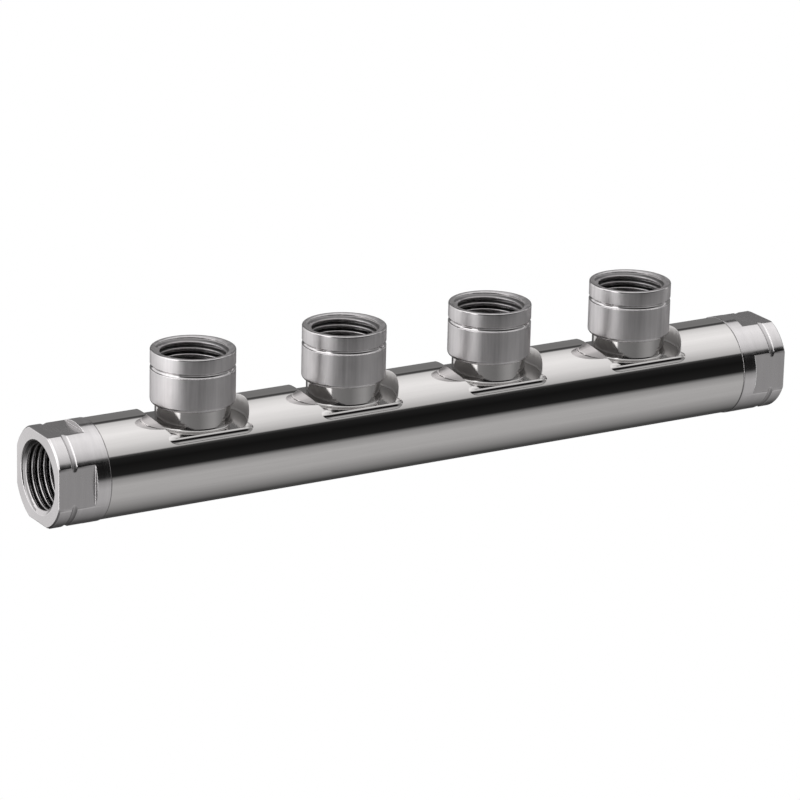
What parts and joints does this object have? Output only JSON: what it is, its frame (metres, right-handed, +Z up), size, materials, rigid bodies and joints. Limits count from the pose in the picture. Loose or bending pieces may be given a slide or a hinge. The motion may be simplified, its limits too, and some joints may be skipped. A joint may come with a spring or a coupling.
{
  "type": "pipe manifold",
  "caption": "Straight pipe manifold: a round steel tube with female-threaded end fittings and upright female-threaded outlet sockets on pressed flat seats.",
  "frame": {"origin": "centre of the left port's mouth, on the tube's axis", "axes": "+X along the tube towards the right port, +Z up through the outlet sockets, +Y to the back"},
  "size_m": [0.241, 0.029, 0.0451],
  "materials": {
    "polished_tube": "mirror-polished stainless steel",
    "turned_fitting": "satin turned stainless steel",
    "turned_socket": "satin turned stainless steel"
  },
  "bodies": {
    "root": {"manifold_tube": "polished_tube", "left_end_fitting": "turned_fitting", "right_end_fitting": "turned_fitting", "outlet_socket_1": "turned_socket", "outlet_socket_2": "turned_socket", "outlet_socket_3": "turned_socket", "outlet_socket_4": "turned_socket"}
  },
  "joints": []
}
